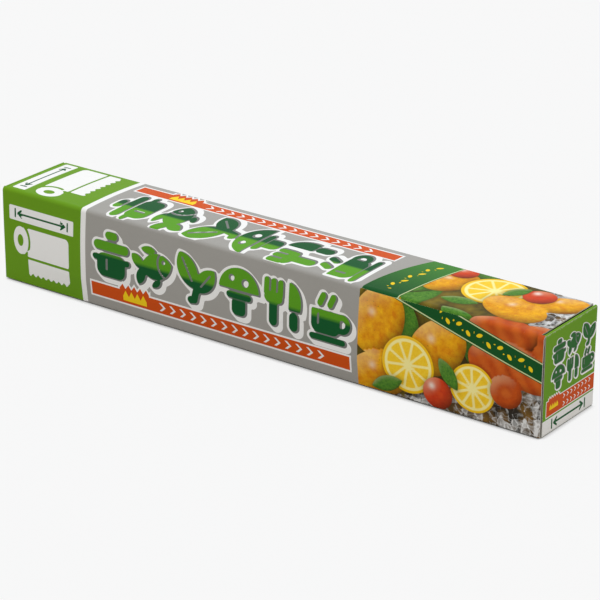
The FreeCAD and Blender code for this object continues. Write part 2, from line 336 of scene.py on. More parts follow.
def cup(x, y):
    """A cup with its handle, on a saucer, under two wisps of steam."""
    body = np.maximum(block(x, y, -1.6, -0.6, 6.6, 6.2, 3.4), y - 2.6)
    body = cut(body, block(x, y, -5.0, -1.2, 0.5, 2.4, 0.4))
    handle = np.maximum(np.abs(disc(x, y, 5.8, -1.2, 2.8)) - 1.15, 5.0 - x)
    saucer = stroke(x, y, -7.8, -8.6, 6.4, -8.6, 1.2)
    steam = join(stroke(x, y, -4.4, 5.2, -3.0, 8.4, 1.25), stroke(x, y, 0.2, 5.2, 1.6, 8.4, 1.25))
    return join(body, handle, saucer, steam)


SIGNS = (pot, fish, sprig, mushroom, cutlery, cup)


def sign_row(x, y, order, first, pitch, scale=1.0):
    """Distance to a row of signs, the first one centred at x = first."""
    return join(*[sign((x - first - place * pitch) / scale, y / scale) * scale
                  for place, sign in enumerate(order)])


def raised(shape, x, y, right, up):
    """The shape drawn out towards one side: the nearest of six copies, each moved on."""
    return join(*[shape(x - right * share, y - up * share) for share in np.linspace(0, 1, 6)])


print("signs", [sign.__name__ for sign in SIGNS])

# %% [markdown]
# ## The lid's sheet
#
# The lid is one sheet: a front flap, a rounded crease and the top panel. Its profile is a
# function of v, the distance along the sheet from the table up, and the bulge is a
# function of x: nearly even over the middle and dying out towards the stiff ends. The two
# multiplied give every point. A sheet that is loose at its edges never lies quite flat, so
# a slow ripple of a few hundredths of a millimetre is added inwards.

# %% The lid's shape
def bulge(x):
    """1 less the sixth power of the share of the half length."""
    return 1 - np.abs(x / LID_HALF) ** 6


def lid_point(x, v, depth):
    """The lid's surface at x and v. The flap leans out in a straight line up to the top of
    the glued strip and from there bows in a parabola; the crease is a quarter circle; the
    top panel is a parabola. depth is how far below the outer face the point lies."""
    grow = bulge(x)
    low = np.clip((v - FLAP_FOOT) / (STRIP_TOP - FLAP_FOOT), 0, 1)
    high = np.clip((v - STRIP_TOP) / (CREASE_Z - STRIP_TOP), 0, 1)
    arch = FRONT_ARCH * grow + EDGE_BOW
    out = FRONT_BOW * grow * np.where(v < STRIP_TOP, low, 1 - high) + 4 * arch * high * (1 - high)
    angle = np.clip((v - CREASE_Z) / CREASE_RUN, 0, 1) * math.pi / 2
    share = np.clip((v - TOP_START) / (BACK - CREASE_Y), 0, 1)
    crown = 4 * (TOP_BOW * grow + EDGE_BOW) * share * (1 - share)
    radius = CREASE - depth
    y = CREASE_Y - radius * np.cos(angle) - out + share * (BACK - CREASE_Y)
    z = np.where(v < CREASE_Z, v, CREASE_Z + radius * np.sin(angle) + crown)
    wave = np.abs(np.sin(x / 17.0 + 0.6) * np.sin(v / 9.0))
    ripple = RIPPLE * wave * np.clip(high + share, 0, 1)
    y = y + np.where(v < CREASE_Z, ripple, 0)
    z = z - np.where(share > 0, ripple, 0)
    return np.stack(np.broadcast_arrays(x, y, z), -1)


PICTURE_FROM = 48.0
COARSE, SIGN_CELL, FOOD_CELL, PANEL_CELL, CREASE_CELL = 3.0, 0.72, 0.6, 0.68, 0.4
NOTCH_V = CREASE_Z + CREASE * math.acos((CREASE_Y - NOTCH_FRONT) / CREASE)
lid_x = spread((-LID_HALF, COARSE), (-TOP_HALF, SIGN_CELL), (PICTURE_FROM, FOOD_CELL),
               (TOP_HALF, COARSE), (LID_HALF, None))
lid_v = spread((FLAP_FOOT, PANEL_CELL), (CREASE_Z, CREASE_CELL), (NOTCH_V, CREASE_CELL),
               (TOP_START, PANEL_CELL), (SHEET_END, None))
X, V = np.meshgrid(lid_x, lid_v)
between_ends = np.abs((lid_x[1:] + lid_x[:-1]) / 2) < TOP_HALF
on_flap = (lid_v[1:] + lid_v[:-1]) / 2 < NOTCH_V
lid_board = on_flap[:, None] | between_ends[None, :]
print("lid grid", X.shape)

# %% [markdown]
# ## Where the print lies on the lid
#
# Front and top carry the same design. On the front a sign stands upright; on the top it is
# turned a quarter turn, so that its head points to the left end. Both are cut from the same
# functions: only the coordinates that go in are swapped. On the front they are x and the
# height v, on the top x and the depth D, measured from the carton's middle.

# %% The lid's print
D = V - TOP_START + CREASE_Y
on_top = V > CREASE_MIDDLE
SIGN_FIRST = -70.3
SIGN_PITCH = 21.2
SIGN_HEIGHT = 24.0
TOP_FIRST = SIGN_FIRST + 1.6
TOP_PITCH = 20.6
TOP_STRETCH = 1.3
RIM = 1.0
TONE_RUN = 1.6
BAR_HEIGHT = 8.0
BAR_DEPTH = 11.9
NO_BAR = 4.0


def front_signs(x, z):
    """The row of signs, upright."""
    return sign_row(x, z - SIGN_HEIGHT, SIGNS, SIGN_FIRST, SIGN_PITCH)


def top_signs(x, depth):
    """Each sign is turned anticlockwise and stretched along the panel's depth."""
    across = (depth + 5.7) / TOP_STRETCH
    return join(*[sign(across, TOP_FIRST + place * TOP_PITCH - x) for place, sign in enumerate(SIGNS)])


def roll_sign(x, y):
    """A roll of foil with its sheet drawn out: a tube, its round end and the hanging sheet."""
    tube = block(x, y, 1.5, 4.6, 13.0, 6.0, 2.0)
    end = oval(x, y, -11.6, 4.6, 3.8, 6.0)
    gap = np.abs(oval(x, y, -11.6, 4.6, 4.9, 7.1)) - 0.55
    hole = oval(x, y, -11.6, 4.6, 1.6, 2.6)
    sheet = block(x, y, 3.4, -5.0, 11.1, 6.2, 0.4)
    teeth = np.abs((x / 2.8) % 1 - 0.5) * 2
    sheet = np.maximum(sheet, 0.75 * (-10.2 - y + 1.6 * teeth))
    sheet = cut(sheet, np.abs(y + 2.3) - 0.55)
    return cut(join(cut(tube, gap), end, sheet), hole)


def width_arrow(x, y, half, pen=0.42):
    """A double-headed arrow with a bar at each end, as for a width."""
    shaft = stroke(x, y, -half + 2.4, 0, half - 2.4, 0, pen)
    heads = stroke(np.abs(x), np.abs(y), half - 1.4, 0, half - 3.4, 1.5, pen)
    stops = stroke(np.abs(x), y, half, 1.7, half, -1.7, pen)
    return join(shaft, heads, stops)


front_print = {
    "sign": front_signs(X, V),
    "sign_rim": raised(front_signs, X, V, 1.9, -1.5) - RIM,
    "sign_shade": front_signs(X - 0.65, V + 0.2),
    "sign_tone": (24.4 - V) / TONE_RUN,
    "rise": V - BAR_HEIGHT,
    "white": join(block(X, V, -107.2, 30.2, 17.2, 3.1, 0.2), roll_sign(X + 107.0, V - 14.4)),
    "mark": width_arrow(X + 107.2, V - 30.2, 14.0),
}
top_print = {
    "sign": top_signs(X, D),
    "sign_rim": raised(top_signs, X, D, 1.5, 1.9) - RIM,
    "sign_shade": top_signs(X - 0.3, D - 0.65),
    "sign_tone": (D + 6.6) / TONE_RUN,
    "rise": (D - BAR_DEPTH) * 0.95,
    "white": join(block(X, D, -121.2, 0.4, 3.3, 16.6, 0.2), roll_sign((D - 0.6) / 1.12, -X - 103.6)),
    "mark": width_arrow(D - 0.4, X + 121.2, 13.5),
}
lid_print = {key: np.where(on_top, top_print[key], front_print[key]) for key in front_print}
from_crease = np.abs(V - CREASE_MIDDLE)
lid_print["along"] = np.where(from_crease < NO_BAR, FAR, X)
lid_print["edge"] = join(V - FLAP_FOOT, from_crease, SHEET_END - V, LID_HALF - np.abs(X))
print("printed values", sorted(lid_print))

# %% [markdown]
# ## The picture at the right end
#
# The right third of the sheet carries a printed picture: food baked in crumpled foil, with
# a dark green ribbon across it. It runs over the crease from front to top, so it is laid
# out on the flat sheet in x and v. The food is painted back to front, one piece over
# another. Each piece has a height, and the slope of that height towards the light is its
# brightness; each also darkens what lies just outside it, as a shadow does.

# %% The food, back to front
FOOD = [
    ("herb", 70, 43, 26, 12, 62), ("herb", 76, 72, 24, 11, 12), ("herb", 94, 36, 24, 10, -28),
    ("herb", 70, 30, 24, 11, 108), ("herb", 68, 56, 22, 11, 78), ("herb", 101, 25, 20, 9, -48),
    ("carrot", 124, 36, 11, 10, 35), ("carrot", 110, 37, 14, 8.5, 8), ("carrot", 120, 25, 13, 7.2, -22),
    ("carrot", 106, 22.5, 10, 6.6, -38), ("potato", 74, 62, 11.5, 8.6, 62),
    ("potato", 57.5, 28.5, 14.5, 11.0, 64), ("tomato", 73, 72.5, 5.6), ("potato", 118.5, 67, 10.5, 7.6, 35),
    ("potato", 58.5, 7.5, 13.5, 9.0, 14), ("potato", 84, 24.5, 13.6, 10.0, 40), ("lemon", 92, 64, 12.6),
    ("potato", 106.5, 54.0, 14.0, 9.2, -16), ("lemon", 71.5, 14.5, 11.4), ("tomato", 84.5, 6.5, 6.4),
    ("tomato", 108.0, 69.0, 6.4), ("lemon", 99.5, 12.5, 9.6), ("carrot", 113.5, 14.5, 6.6, 6.0, 0),
    ("herb", 62, 4.5, 15, 6.4, 22), ("herb", 99, 68, 13, 6.0, 62), ("herb", 89, 15.5, 14, 6.0, -52),
    ("herb", 86, 49, 15, 6.2, 10),
]
SHAPE = {"herb": leaf, "carrot": oval, "potato": oval, "tomato": disc, "lemon": disc}
ROUNDING = {"herb": 2.6, "carrot": 4.2, "potato": 7.5, "tomato": 6.6, "lemon": 1.1}
GLINT = {"herb": 0.0, "carrot": 0.0, "potato": 0.4, "tomato": 0.75, "lemon": 0.0}
MARGIN = 0.9
WEDGE = math.radians(36)


def dome(distance, size):
    """A rounded height: a quarter circle over the last stretch inside an edge."""
    inward = np.clip(-distance / size, 0, 1)
    return size * np.sqrt(1 - (1 - inward) ** 2)


def brightness(distance, size):
    """The cosine between the dome's face and a light from the upper left."""
    height = dome(distance - MARGIN, size)
    slope_v = np.gradient(height, lid_v, axis=0)
    slope_x = np.gradient(height, lid_x, axis=1)
    facing = (slope_x * 0.8 - slope_v + 0.55) / np.sqrt(1 + slope_x ** 2 + slope_v ** 2)
    return np.clip(0.34 + 0.40 * facing, 0, 1)


def lemon_slice(x, v, cx, cy, radius):
    """Two distances: to the rind's inner edge, and to the nearest of ten wedges."""
    reach = np.hypot(x - cx, v - cy)
    spoke = np.abs(((np.arctan2(v - cy, x - cx) + cx) / WEDGE) % 1 - 0.5) * reach * WEDGE
    wedge = np.maximum(reach - 0.8 * radius, 0.5 - reach * WEDGE / 2 + spoke)
    return reach - 0.9 * radius, wedge


food = {kind: np.full_like(X, FAR) for kind in ROUNDING}
lights = {kind: np.full_like(X, 0.5) for kind in [*ROUNDING, "bed"]}
rind, flesh, glint = np.full_like(X, FAR), np.full_like(X, FAR), np.zeros_like(X)
for kind, *place in FOOD:
    distance = SHAPE[kind](X, V, *place)
    cx, cy = place[:2]
    size = ROUNDING[kind]
    own = distance < MARGIN
    shadow = 1 - 0.55 * np.exp(-np.clip(distance, 0, None) / 1.4)
    lights["bed"] = lights["bed"] * shadow
    for other in food:
        if other == kind:
            food[other] = join(food[other], distance)
            lights[other] = np.where(own, brightness(distance, size), lights[other])
        else:
            food[other] = cut(food[other], distance)
            lights[other] = lights[other] * shadow
    from_spot = (X - cx + 0.38 * size) ** 2 + (V - cy - 0.4 * size) ** 2
    glint = np.where(own, np.exp(-from_spot / (0.2 * size) ** 2) * GLINT[kind], glint)
    if kind == "lemon":
        own_rind, own_flesh = lemon_slice(X, V, *place)
        rind, flesh = np.where(own, own_rind, rind), np.where(own, own_flesh, flesh)
    if kind == "carrot":
        cut_face = 0.62 * disc(X, V, cx, cy, 0.42 * size)
        ring = cut_face if cy < 20 else 0.5 * np.sin(X * 0.9 + V * 0.5)
        flesh = np.where(own, ring, flesh)
print("food pieces", len(FOOD))

# %% [markdown]
# ### The ribbon and the foil under the food
#
# On the front the ribbon falls to the right between two parallel lines. On the top it runs
# to the back between a curve and a straight line, and the curve is also where the picture
# begins. A small garland of leaves and dots runs along its middle.

# %% Ribbon, garland and foil
PICTURE_LEFT = 48.8
RIBBON_TURN = 39.3
RIBBON_SLOPE = 0.27
RIBBON_LOW = 65.3
RIBBON_HIGH = 90.3
TOP_RUN = 37.0
GARLAND_PITCH = 4.6
FOIL_TOP_EDGE = ((62, -1), (70, 2), (78, 5.5), (86, 9.5), (95, 12), (106, 13.5), (118, 16.5), (128, 19))
FOIL_RIGHT_EDGE = ((38, 121), (46, 118.5), (56, 114), (66, 111), (77, 107))


def ribbon_curves(v):
    """The ribbon's left and right edge on the top: a power curve and a straight line."""
    rise = np.clip((v - RIBBON_TURN) / TOP_RUN, 0, 1)
    return 49.5 + 7.8 * rise ** 1.6, RIBBON_LOW + 5.2 * rise


def ribbon_edges(x, v):
    """Distance to the ribbon."""
    below, above = (0.965 * (v - RIBBON_TURN + RIBBON_SLOPE * (x - start))
                    for start in (RIBBON_LOW, RIBBON_HIGH))
    left, right = ribbon_curves(v)
    return np.where(v > RIBBON_TURN, np.maximum(left - x, x - right), np.maximum(-below, above))


def garland(x, v):
    """Small leaves and dots along the middle of the ribbon: the ribbon's own direction is
    one coordinate and the distance from its middle the other."""
    slant = math.hypot(1, RIBBON_SLOPE)
    middle = (RIBBON_LOW + RIBBON_HIGH) / 2
    front_along = (x - RIBBON_SLOPE * v) / slant
    front_off = (v - RIBBON_TURN + RIBBON_SLOPE * (x - middle)) / slant
    top_part = v > RIBBON_TURN
    along = np.where(top_part, v, front_along)
    off = np.where(top_part, x - sum(ribbon_curves(v)) / 2, front_off)
    local = along % GARLAND_PITCH - GARLAND_PITCH / 2
    across = off * np.where((along // GARLAND_PITCH) % 2 > 0.5, 1.0, -1.0)
    shapes = join(leaf(local, across, -0.6, 0.75, 3.0, 1.5, 35), disc(local, across, 1.5, -0.8, 0.42))
    ends = np.where(top_part, np.maximum(43.5 - v, v - 72.0), np.maximum(84.0 - x, x - 124.0))
    return np.maximum(shapes, ends)


front_foil = V - np.interp(X, *zip(*FOIL_TOP_EDGE))
top_foil = np.interp(V, *zip(*FOIL_RIGHT_EDGE)) - X
ragged = 0.9 * np.sin(X * 1.1 + V * 0.7) + 0.6 * np.sin(V * 1.9 - X * 0.8)
lid_print.update(food)
lid_print.update({"light_" + kind: value for kind, value in lights.items()})
lid_print.update({
    "picture": np.where(V > RIBBON_TURN, ribbon_curves(V)[0], PICTURE_LEFT) - X,
    "ribbon": ribbon_edges(X, V),
    "garland": garland(X, V),
    "rind": rind,
    "flesh": flesh,
    "glint": glint,
    "foil_print": np.where(V > RIBBON_TURN, top_foil, front_foil) + ragged,
})
print("values on the lid", len(lid_print))

# %% [markdown]
# ## Inks and card
#
# The card is coated and has a satin gloss. Its inks are flat colours that only a faint
# mottle breaks up. A small class wraps a node's socket, so that shader sums read like
# Python sums. Colours are written as a printer's proof would read on a screen, from 0 to
# 255, and are turned into the linear values that a shader uses.

# %% A few tools for materials
class Number:
    """One number that changes over the surface. Sums on it add Math nodes. The methods that
    are no more than one node, such as + or least, are listed in SUMS and added below."""

    def __init__(self, paint, socket):
        self.paint, self.socket = paint, socket

    def math(self, operation, first, second=None, clamp=False):
        sockets = {0: first} if second is None else {0: first, 1: second}
        settings = {"operation": operation, "use_clamp": clamp}
        return self.paint.node("ShaderNodeMath", settings, sockets, out="Value")

    def __rsub__(self, other):
        return self.math("SUBTRACT", other, self)

    def clamp(self):
        return self.math("ADD", self, 0.0, clamp=True)

    def levels(self, gain, drop):
        """The number times the gain, less the drop, kept between 0 and 1."""
        return (self * gain - drop).clamp()

    def saw(self, pitch):
        """A wave of straight teeth, from 0 up to 1 and back in one pitch."""
        return 1 - ((self / pitch).fract() * 2 - 1).size()

    def inside(self, soft=0.09):
        """1 where the distance is below zero, 0 above, with an edge of that many mm."""
        return (0.5 - self / soft).clamp()


SUMS = {
    "__add__": "ADD", "__radd__": "ADD", "__sub__": "SUBTRACT", "__mul__": "MULTIPLY",
    "__rmul__": "MULTIPLY", "__truediv__": "DIVIDE", "__pow__": "POWER", "least": "MINIMUM",
    "most": "MAXIMUM", "size": "ABSOLUTE", "sine": "SINE", "fract": "FRACT",
}


def sum_method(operation):
    """A method that adds one Math node with that operation."""
    return lambda self, *other: self.math(operation, self, *other)


for name, operation in SUMS.items():
    setattr(Number, name, sum_method(operation))


def ink(red, green, blue):
    """A screen colour as the linear colour that a shader takes."""
    codes = np.array([red, green, blue]) / 255.0
    linear = np.where(codes <= 0.04045, codes / 12.92, ((codes + 0.055) / 1.055) ** 2.4)
    return (*linear.tolist(), 1.0)


class Paint:
    """A material, or the world, and the nodes that are added to it."""

    def __init__(self, owner, output="ShaderNodeOutputMaterial"):
        self.owner = owner
        owner.use_nodes = True
        self.tree = owner.node_tree
        self.tree.nodes.clear()
        self.output = self.tree.nodes.new(output)

    def plug(self, socket, value):
        source = value.socket if isinstance(value, Number) else value
        if isinstance(source, bpy.types.NodeSocket):
            self.tree.links.new(source, socket)
        else:
            socket.default_value = source

    def node(self, kind, settings=None, sockets=None, out=None):
        """Any node: its type, its settings first, then its sockets' values or links."""
        node = self.tree.nodes.new(kind)
        for key, value in (settings or {}).items():
            setattr(node, key, value)
        for key, value in (sockets or {}).items():
            self.plug(node.inputs[key], value)
        if out is None:
            return node
        socket = node.outputs[out]
        return Number(self, socket) if socket.type == "VALUE" else socket

    def value(self, name):
        """A number that the mesh carries."""
        return self.node("ShaderNodeAttribute", {"attribute_name": name}, out="Fac")

    def vector(self, operation, *sockets):
        """A Vector Math node."""
        return self.node("ShaderNodeVectorMath", {"operation": operation}, dict(enumerate(sockets)), out=0)

    def place(self):
        """Object coordinates in mm, as a vector."""
        here = self.node("ShaderNodeTexCoord", out="Object")
        return self.vector("MULTIPLY", here, (1 / MM, 1 / MM, 1 / MM))

    def axes(self):
        """Object coordinates in mm as three numbers."""
        apart = self.node("ShaderNodeSeparateXYZ", sockets={0: self.place()})
        return [Number(self, apart.outputs[k]) for k in range(3)]

    def mix(self, share, low, high):
        """low where the share is 0, high where it is 1."""
        return self.node("ShaderNodeMix", {"data_type": "RGBA"}, {0: share, 6: low, 7: high}, out=2)

    def over(self, colour, *layers):
        """Each layer, a distance and its ink, printed over the colour in turn."""
        for distance, top in layers:
            colour = self.mix(distance.inside(), colour, top)
        return colour

    def noise(self, size, detail=2.0, where=None, rough=0.5, out=0):
        """Soft noise from 0 to 1 whose lumps are about size mm across."""
        where = self.place() if where is None else where
        sockets = {"Vector": where, "Scale": 1.0 / size, "Detail": detail, "Roughness": rough}
        return self.node("ShaderNodeTexNoise", None, sockets, out=out)

    def close(self, shader):
        """Plugs the last shader into the output."""
        self.tree.links.new(shader.outputs[0], self.output.inputs[0])
        print(self.owner.name, "has", len(self.tree.nodes), "nodes")
        return self.owner

    def finish(self, colour, roughness, bumps, depth, metallic=0.0, **fixed):
        """The surface itself. bumps are a height from 0 to 1 and depth is how many mm that
        is. fixed are constants such as the specular level."""
        normal = self.node("ShaderNodeBump", None, {
            "Height": bumps, "Distance": depth * MM, "Strength": 1.0}, out=0)
        sockets = {"Base Color": colour, "Roughness": roughness, "Metallic": metallic, "Normal": normal}
        sockets.update({key.replace("_", " "): value for key, value in fixed.items()})
        return self.close(self.node("ShaderNodeBsdfPrincipled", None, sockets))


def new_paint(name):
    """An empty material of that name."""
    return Paint(bpy.data.materials.new(name))


# %% The inks
GREEN = ink(110, 157, 20)
WEAK_GREEN = ink(100, 149, 26)
DARK_GREEN = ink(10, 84, 38)
LIGHT_GREEN = ink(90, 156, 30)
SILVER = ink(166, 163, 157)
WEAK_SILVER = ink(156, 154, 148)
SILVER_SHADE = ink(120, 122, 118)
PAPER_WHITE = ink(242, 241, 238)
RED = ink(208, 80, 14)
YELLOW = ink(248, 210, 26)
RIBBON_GREEN = ink(16, 80, 32)
RIBBON_BRIGHT = ink(62, 128, 44)
DOT_GREEN = ink(34, 104, 48)
PALE_LINE = ink(206, 216, 160)
BARE_BOARD = ink(206, 202, 190)
print("silver as a linear colour", [round(part, 3) for part in SILVER])

# %% [markdown]
# ### The red bar
#
# The bar's teeth and its small signs are finer than the mesh, so this one shape is drawn in
# the shader. The mesh carries only two plain lengths, along the bar and up from its middle,
# and the same sums then serve the front, the top, the back and the ends.

# %% The red bar
TOOTH = 3.0
OUTLINE = 0.75
HEAD_PITCH = 5.1
LONG_BAR = dict(middle=-17.7, half=63.0, height=2.8, bump=-58.5, first=-47.0, last=34.0, rows=1)
END_BAR = dict(middle=3.6, half=33.4, height=6.0, bump=-19.5, first=-8.0, last=32.0, rows=2)


def bar_print(paint, colour, middle, half, height, bump, first, last, rows):
    """The bar and its outline, with a hump of five saw teeth at bump, a small yellow saw
    under them, and one or two rows of arrow heads from first to last. middle and half say
    where the bar lies along its length, and height is half its width."""
    along, rise = paint.value("along"), paint.value("rise")
    from_bump = (along - bump).size()
    bar = ((along - middle).size() - half).most(rise.size() - height)
    teeth = ((rise - height - 0.7 - along.saw(TOOTH) * 1.9) * 0.62).most(from_bump - 2.5 * TOOTH)
    bar = bar.least(teeth.most(0 - rise))
    fang = (along + 0.5 * TOOTH).saw(TOOTH)
    blade = ((rise - 0.2 - fang * 2.6) * 0.5).most(-1.7 - rise).most(from_bump - 2 * TOOTH)
    across = rise.size() if rows == 1 else (rise.size() - height / 2).size()
    local = ((along - first) / HEAD_PITCH).fract() * HEAD_PITCH - 2.5
    head = (((local - 1.0) * 1.5 + across * 1.75).size() / 2.3 - 0.38).most(across - 1.7)
    head = head.most(first - along).most(along - last)
    return paint.over(colour, (bar - OUTLINE, PAPER_WHITE), (bar, RED), (blade, YELLOW), (head, PAPER_WHITE))


# %% [markdown]
# ### The printed picture
#
# Crumpled foil is a patchwork of small flat facets. Three layers of cells, stretched and
# bent, each give a facet its tone, and the borders between cells are its folds, bright or
# dark. Food gets its colour by kind from soft noises, and its light and shade from the mesh.

# %% The printed picture
FACETS = (
    ((0.40, 0.40, 0.18), 0.945, 0.34),
    ((0.20, 0.20, 0.52), 0.945, 0.30),
    ((0.7, 0.7, 0.4), 0.42, -0.12),
)
FACET_BASE = -1.015
BEND = 5.0


def crumpled(paint, y):
    """The tone is a sum over the layers of cells, each given by its stretch, the weight of
    a facet's own tone and that of its folds. Painted light: the top's foil is lighter than the front's, as
    the top is lit more."""
    where = paint.place()
    bend = paint.noise(1 / 0.16, out="Color")
    bent = paint.vector("MULTIPLY_ADD", bend, (BEND, BEND, BEND), where)
    # painted light: the foil on the top panel is made lighter than on the front, as the top is lit more
    tone = (y + 17.5).levels(0.2, 0.0) * 0.3 + FACET_BASE
    for layer, (stretch, own_weight, fold_weight) in enumerate(FACETS):
        cells = {"Vector": paint.vector("MULTIPLY", bent, stretch), "Scale": 1.0, "Randomness": 1.0}
        facet = paint.node("ShaderNodeTexVoronoi", {"feature": "F1"}, cells, out="Color")
        own = paint.node("ShaderNodeSeparateColor", sockets={0: facet}, out=layer)
        border = paint.node("ShaderNodeTexVoronoi", {"feature": "DISTANCE_TO_EDGE"}, cells, out="Distance")
        tone = tone + own * own_weight + (1 - border * 6.0).clamp() * fold_weight
    tone = tone.clamp()
    foil = paint.mix(tone, ink(42, 38, 30), ink(232, 232, 230))
    glow = paint.noise(6.0, 1.0).levels(2.4, 0.95)
    return paint.mix(glow * (1 - tone) * 0.6, foil, ink(178, 130, 50))


def food_colours(paint):
    """The colour of each kind of food, before light and shade."""
    crumb = paint.noise(1.1, 4.0, rough=0.7)
    spice = paint.noise(3.0, 5.0, rough=0.65)
    flesh = paint.value("flesh")
    herb = paint.mix(crumb.levels(2.0, 0.6), ink(48, 104, 30), ink(104, 156, 48))
    carrot = paint.mix(spice.levels(1.6, 0.3), ink(172, 60, 14), ink(206, 92, 24))
    carrot = paint.mix(flesh.inside(0.8) * 0.3, carrot, ink(228, 124, 42))
    potato = paint.mix(spice.levels(2.4, 0.8), ink(216, 130, 8), ink(250, 190, 24))
    potato = paint.mix(crumb.levels(4.0, 2.6) * 0.7, potato, ink(176, 92, 16))
    potato = paint.mix(paint.noise(0.8, 2.0).levels(9.0, 6.1) * 0.7, potato, ink(86, 84, 22))
    tomato = paint.mix(spice.levels(1.5, 0.3), ink(196, 50, 22), ink(224, 84, 32))
    juice = paint.mix(crumb.levels(1.4, 0.2), ink(242, 186, 20), ink(255, 222, 60))
    wedges = paint.mix(flesh.inside(0.4), ink(255, 242, 160), juice)
    lemon = paint.mix(paint.value("rind").inside(0.4), ink(246, 196, 20), wedges)
    return {"herb": herb, "carrot": carrot, "potato": potato, "tomato": tomato, "lemon": lemon}


def lit(paint, colour, kind):
    """A food colour with its own light and shade, which the mesh carries."""
    light = paint.value("light_" + kind)
    colour = paint.mix(((0.5 - light) * 1.6).clamp(), colour, ink(44, 24, 4))
    return paint.mix(((light - 0.55) * 0.7).clamp(), colour, ink(255, 240, 190))


def picture(paint, ground):
    """Food on crumpled foil behind a ribbon, over the ground colour."""
    y = paint.axes()[1]
    leafy = paint.noise(9.0, 3.0, rough=0.6).levels(2.4, 0.8)
    bed = paint.mix(leafy, ink(60, 56, 16), ink(150, 128, 34))
    bed = paint.mix(paint.value("foil_print").inside(0.4), bed, crumpled(paint, y))
    colour = lit(paint, bed, "bed")
    for kind, own_colour in food_colours(paint).items():
        colour = paint.mix(paint.value(kind).inside(0.2), colour, lit(paint, own_colour, kind))
    colour = paint.mix(paint.value("glint").clamp(), colour, ink(255, 252, 240))
    ribbon = paint.value("ribbon")
    fade = ((y + 14.0) * 0.03 + 0.1).clamp()
    ribbon_ink = paint.mix(fade, RIBBON_GREEN, RIBBON_BRIGHT)
    colour = paint.over(colour, (ribbon - OUTLINE, RIBBON_GREEN), (ribbon - 0.45, PALE_LINE),
                        (ribbon, ribbon_ink), (paint.value("garland"), YELLOW))
    return paint.over(ground, (paint.value("picture"), colour))


# %% [markdown]
# ### The card
#
# Fields of colour come first, then each shape over the ones before it. Card is pale inside,
# so where a fold or a cut edge rubs, the ink thins out in specks. The mesh carries its
# distance from the nearest edge, and a fine noise decides where the specks are.

# %% The printed card
GREEN_END = -86.2
STRIPE_END = -83.6
DOT_PITCH = 6.0
DOT_RADIUS = 0.9
WEAR = 0.4


def dotted_field(paint, x, up):
    """Dark green with paler dots in straight rows."""
    u = (x / DOT_PITCH).fract() * DOT_PITCH - DOT_PITCH / 2
    v = (up / DOT_PITCH + 0.25).fract() * DOT_PITCH - DOT_PITCH / 2
    dots = (u * u + v * v) ** 0.5 - DOT_RADIUS
    return paint.over(RIBBON_GREEN, (dots, DOT_GREEN))


def printed_card(name, part):
    """The card of one part, lid, end or side, under its print."""
    paint = new_paint(name)
    x, y, z = paint.axes()
    drift = paint.noise(38.0, 1.0)
    colour = paint.mix(drift.levels(1.4, 0.2), GREEN, WEAK_GREEN)
    if part != "end":
        mottle = paint.noise(0.7, 3.0)
        silver = paint.mix((mottle * 0.5 + drift * 0.5 - 0.2).clamp(), SILVER, WEAK_SILVER)
        colour = paint.over(silver, (x - STRIPE_END, PAPER_WHITE), (x - GREEN_END, colour))
    if part == "side":
        field = dotted_field(paint, x, y + z)
        colour = paint.over(colour, (PICTURE_LEFT - x, PALE_LINE), (PICTURE_LEFT + 0.7 - x, field))
    if part == "lid":
        colour = picture(paint, colour)
    sign_green = paint.mix(paint.value("sign_tone").clamp(), LIGHT_GREEN, DARK_GREEN)
    colour = paint.over(colour, (paint.value("sign_rim"), PAPER_WHITE),
                        (paint.value("sign_shade") - 0.35, SILVER_SHADE), (paint.value("sign"), sign_green))
    colour = bar_print(paint, colour, **(END_BAR if part == "end" else LONG_BAR))
    colour = paint.over(colour, (paint.value("white"), PAPER_WHITE), (paint.value("mark"), DARK_GREEN))
    if part == "side":
        colour = paint.over(colour, (paint.value("arrow"), RED))
    specks = paint.noise(1.2, 4.0, rough=0.7)
    worn = (specks * 6.0 - 3.5 - paint.value("edge") * 2.0).clamp()
    colour = paint.mix(worn * WEAR, colour, BARE_BOARD)
    fibre = paint.noise(0.25, 2.0)
    roughness = fibre * 0.12 + drift * 0.06 + worn * 0.2 + 0.42
    return paint.finish(colour, roughness, fibre - worn * 0.6, 0.008, Specular_IOR_Level=0.09)


def grey_board(name, tone):
    """The uncoated side or edge: recycled board with flecks and short fibres."""
    paint = new_paint(name)
    flecks = paint.noise(0.5, 4.0, rough=0.7)
    base = paint.mix(paint.noise(9.0, 2.0), ink(*tone), ink(*(value + 14 for value in tone)))
    colour = paint.mix(flecks.levels(3.0, 1.9), base, ink(118, 110, 98))
    return paint.finish(colour, flecks * 0.15 + 0.75, flecks, 0.02)


lid_card = printed_card("printed_lid_card", "lid")
inner_board = grey_board("grey_board", (168, 163, 152))
board_edge = grey_board("board_edge", (186, 182, 172))

# %% Make the lid
lid_sheets = Sheets()
lid_sheets.add(lid_point(X, V, 0.0), lid_point(X, V, BOARD), lid_board, **lid_print)
lid_sheet = lid_sheets.make("lid_sheet", (lid_card, inner_board, board_edge))
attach(lid_sheet, "lid")
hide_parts("lid")

# %% [markdown]
# ## The carton's body
#
# The body is the same kind of sheet: a channel of front wall, floor and back wall, and at
# each end a panel that runs up the outside, folds over in a tight round and runs down the
# inside, with a glued flap between its layers. Each is a path with a thickness, carried
# along a straight line. The end panels show a small version of the print.

# %% Paths of the body's board
FOLD = 0.8
WALL_FACE = body_low.y
FRONT_WALL_TOP = 36.03
BACK_TOP = 39.231
SHOULDER = body_high.z - 1.5 * BOARD
FOLD_STEPS = 7
WALL_STEPS = 14
BACK_STEPS = 64
FIRST_FOLD = WALL_STEPS + FOLD_STEPS // 2
SECOND_FOLD = FIRST_FOLD + FOLD_STEPS + WALL_STEPS
FRAMES_FROM = -82.0


def upright(place, start, end, count):
    """A straight run up or down at one place."""
    return np.stack([np.full(count, place), np.linspace(start, end, count)], -1)


